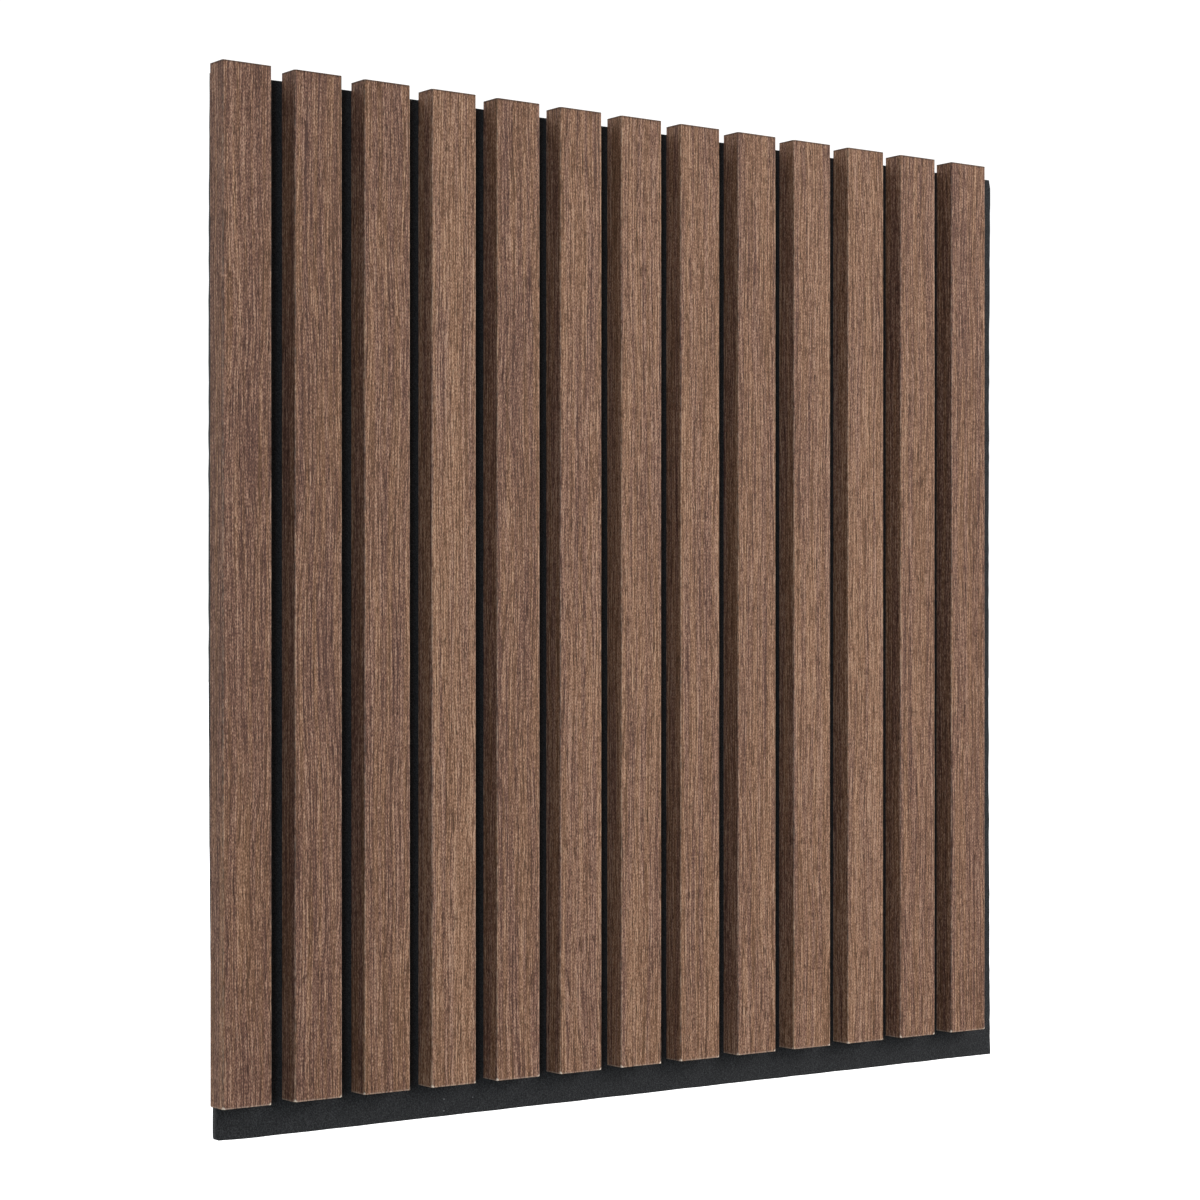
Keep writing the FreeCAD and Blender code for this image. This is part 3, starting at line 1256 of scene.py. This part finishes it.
    def _mesh(self) -> bpy.types.Mesh:
        """Builds the closed sheet: a front and a back grid, joined round the cut edge.

        Returns:
            The mesh, with the share of loose fibres kept at each point as "fuzz".
        """
        x, z = np.meshgrid(*self._lines(), indexing="ij")
        inset = self._edge_inset(x, z)
        open_share = self._open(x, z)
        lumps = self.lump * self.lump_waves.at(x, z) * open_share
        front = self.sizes.felt_low.y + inset + np.minimum(lumps, self.lump)
        front = front + self.lump * open_share
        hollows = np.maximum(1 + self.hollow_waves.at(x, z), 0)
        hollows = hollows * self.lump * self.hollow_share
        back = self.sizes.felt_high.y - inset - self._dents(x, z) - hollows
        cut_x, cut_z = self._outline(x, z)
        count = x.size
        faces_at = [np.stack([cut_x, y, cut_z], axis=-1).reshape(-1, 3) for y in (front, back)]
        index = np.arange(count).reshape(x.shape)
        corners = (index[:-1, :-1], index[1:, :-1], index[1:, 1:], index[:-1, 1:])
        face_front = np.stack([corner.ravel() for corner in corners], axis=-1)
        face_back = face_front[:, ::-1] + count
        border = np.concatenate([index[:, 0], index[-1, 1:], index[-2::-1, -1], index[0, -2:0:-1]])
        following = np.roll(border, -1)
        rim = np.stack([following, border, border + count, following + count], axis=-1)
        faces = np.concatenate([face_front, face_back, rim])
        mesh = bpy.data.meshes.new("felt_sheet")
        mesh.from_pydata(np.concatenate(faces_at).tolist(), [], faces.tolist())
        mesh.polygons.foreach_set("use_smooth", np.ones(len(faces), bool))
        rim_share = (inset > self.edge_round / 2).astype(float)
        fuzz_front = np.clip(open_share + rim_share, 0, 1)
        fuzz = np.concatenate([fuzz_front.ravel(), np.zeros(count)])
        mesh.attributes.new("fuzz", "FLOAT", "POINT").data.foreach_set("value", fuzz)
        return mesh

    def _fibre_inputs(self) -> dict[str, float]:
        """The values of the fibre tree's inputs.

        Returns:
            The value of each named input.
        """
        return {
            "Density": self.fibre_density,
            "Fibre Length": self.fibre_length,
            "Fibre Radius": self.fibre_radius,
            "Seed": self.fibre_seed,
        }

    def _fibre_tree(self, material: bpy.types.Material) -> GeometryNodes:
        """The tree that scatters short curled fibres over the felt it is given.

        Args:
            material: the fibres' finish.

        Returns:
            The tree.
        """
        tree = GeometryNodes("loose_fibres")
        density, length, radius = (
            tree.number(name) for name in ("Density", "Fibre Length", "Fibre Radius")
        )
        seed = tree.number("Seed", whole=True)
        fuzz = tree.stored("fuzz", "FLOAT")
        scatter = tree.node(
            "GeometryNodeDistributePointsOnFaces",
            inputs={"Mesh": tree.base(), "Density": density * fuzz, "Seed": seed},
        )
        points = {
            name: tree.combine(*(length * share for share in place)) for name, place in self.curl
        }
        curl = tree.step(
            "GeometryNodeCurveQuadraticBezier", inputs={"Resolution": self.fibre_steps, **points}
        )
        round_wire = {"Resolution": self.fibre_sides, "Radius": radius}
        thread = tree.step("GeometryNodeCurvePrimitiveCircle", inputs=round_wire)
        swept = {"Curve": curl, "Profile Curve": thread, "Fill Caps": True}
        turn = {
            "Rotation": scatter.outputs["Rotation"],
            "Axis": (0.0, 0.0, 1.0),
            "Angle": tree.chance((0.0, 2 * math.pi), seed),
        }
        own_axis = {"rotation_type": "AXIS_ANGLE", "space": "LOCAL"}
        placed = tree.step(
            "GeometryNodeInstanceOnPoints",
            inputs={
                "Points": scatter.outputs["Points"],
                "Instance": tree.step("GeometryNodeCurveToMesh", inputs=swept),
                "Rotation": tree.step("FunctionNodeRotateEuler", own_axis, turn),
                "Scale": tree.chance(self.fibre_sizes, seed + self.size_seed),
            },
        )
        tree.end(placed, material)
        return tree


@dataclass
class Staples:
    """The wire staples, which stay as packed and get their finish."""

    node: str = "back_staples"

    def build(self) -> None:
        """Dresses the staples."""
        dress_solid(self.node, ZINC_WIRE.make())


@dataclass(frozen=True)
class SoftLight:
    """One large lamp of the studio."""

    name: str
    place: Triple
    aim: Triple
    width: float
    height: float
    power: float
    tint: Triple = (1.0, 1.0, 1.0)

    def build(self) -> None:
        """Puts the lamp in place, turned towards its aim."""
        data = bpy.data.lights.new(self.name, "AREA")
        data.shape = "RECTANGLE"
        data.size = self.width
        data.size_y = self.height
        data.energy = self.power
        data.color = self.tint
        lamp = bpy.data.objects.new(self.name, data)
        bpy.context.scene.collection.objects.link(lamp)
        lamp.location = self.place
        towards = Vector(self.aim) - Vector(self.place)
        lamp.rotation_euler = towards.to_track_quat("-Z", "Y").to_euler()


@dataclass
class Studio:
    """A pale floor, a white backdrop, soft lamps, and the camera of the photograph.

    The room is dim in front of the panel, so that the gaps stay dark, and bright behind it.
    """

    frame_side: float = 1200.0
    focal_length: float = 2843.1
    horizon_row: float = 662.85
    camera_place: Triple = (-0.9283, -1.2299, -0.0249)
    camera_aim: Triple = (0.5927, 0.8054, -0.0015)
    sensor: float = 36.0
    floor_drop: float = 0.34
    floor_half: float = 60.0
    floor_glow: float = 1.0
    floor_rough: float = 0.9
    floor_colour: Colour = (0.93, 0.93, 0.93, 1.0)
    room_glow: float = 0.2
    backdrop_glow: float = 1.0
    backdrop_edge: Span = (0.0, 0.2)
    white: float = 1.1
    lamps: tuple[SoftLight, ...] = (
        SoftLight("key_lamp", (2.12, -2.53, 0.85), (0.0, 0.0, -1.2), 2.5, 2.5, 102.0),
        SoftLight(
            "fill_lamp", (-2.7, -3.0, 0.1), (0.0, 0.0, 0.0), 0.6, 1.4, 36.0, (0.80, 1.02, 1.19)
        ),
    )

    def build(self) -> None:
        """Builds the floor, the light and the camera."""
        bpy.context.scene.view_settings.view_transform = "Standard"
        self._floor()
        self._world()
        for lamp in self.lamps:
            lamp.build()
        self._camera()

    def _floor(self) -> None:
        """Lays the floor well below the hanging panel."""
        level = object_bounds()[0].z - self.floor_drop
        half = self.floor_half
        mesh = bpy.data.meshes.new("floor")
        square = [(-half, -half), (half, -half), (half, half), (-half, half)]
        mesh.from_pydata([(x, y, level) for x, y in square], [], [(0, 1, 2, 3)])
        floor = new_piece("floor", mesh)
        fixed = {
            "Roughness": self.floor_rough,
            "Specular IOR Level": 0.0,
            "Base Color": self.floor_colour,
            "Emission Color": WHITE,
            "Emission Strength": self.floor_glow,
        }
        nodes = ShaderNodes("pale_floor", fixed)
        mesh.materials.append(nodes.material)
        floor.visible_diffuse = False
        floor.visible_glossy = False
        floor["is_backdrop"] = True

    def _world(self) -> None:
        """Lights the room from behind the panel, and shows it white all round."""
        world = bpy.data.worlds.new("studio")
        world.use_nodes = True
        bpy.context.scene.world = world
        nodes = Nodes(world.node_tree)
        world.node_tree.nodes.clear()
        direction = Signal(nodes, nodes.node("ShaderNodeTexCoord").outputs["Generated"])
        behind = nodes.split(direction)[1].rise(*self.backdrop_edge)
        path = nodes.node("ShaderNodeLightPath")
        seen = Signal(nodes, path.outputs["Is Camera Ray"])
        glow = self.room_glow + behind * (self.backdrop_glow - self.room_glow)
        strength = glow + seen * (self.white - glow)
        light = {"Color": WHITE, "Strength": strength}
        background = nodes.node("ShaderNodeBackground", inputs=light)
        nodes.node("ShaderNodeOutputWorld", inputs={"Surface": background.outputs[0]})

    def _camera(self) -> None:
        """Sets the camera where the photograph was taken from."""
        data = bpy.data.cameras.new("camera")
        data.sensor_width = self.sensor
        data.lens = self.focal_length / self.frame_side * self.sensor
        data.shift_y = (self.horizon_row - self.frame_side / 2) / self.frame_side
        camera = bpy.data.objects.new("camera", data)
        bpy.context.scene.collection.objects.link(camera)
        camera.location = self.camera_place
        camera.rotation_euler = Vector(self.camera_aim).to_track_quat("-Z", "Y").to_euler()
        bpy.context.scene.camera = camera


def corners(bounds: tuple[Vector, Vector]) -> list[list[float]]:
    """The two corners of a box as plain lists."""
    return [list(corner) for corner in bounds]


def main() -> None:
    """Builds every sub-assembly in order."""
    logging.basicConfig(level=logging.INFO, format="%(name)s %(message)s")
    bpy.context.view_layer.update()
    sizes = PanelSizes.read()
    Staples().build()
    Slats(sizes).build()
    FeltSheet(sizes).build()
    Studio().build()


if __name__ == "__main__":
    main()
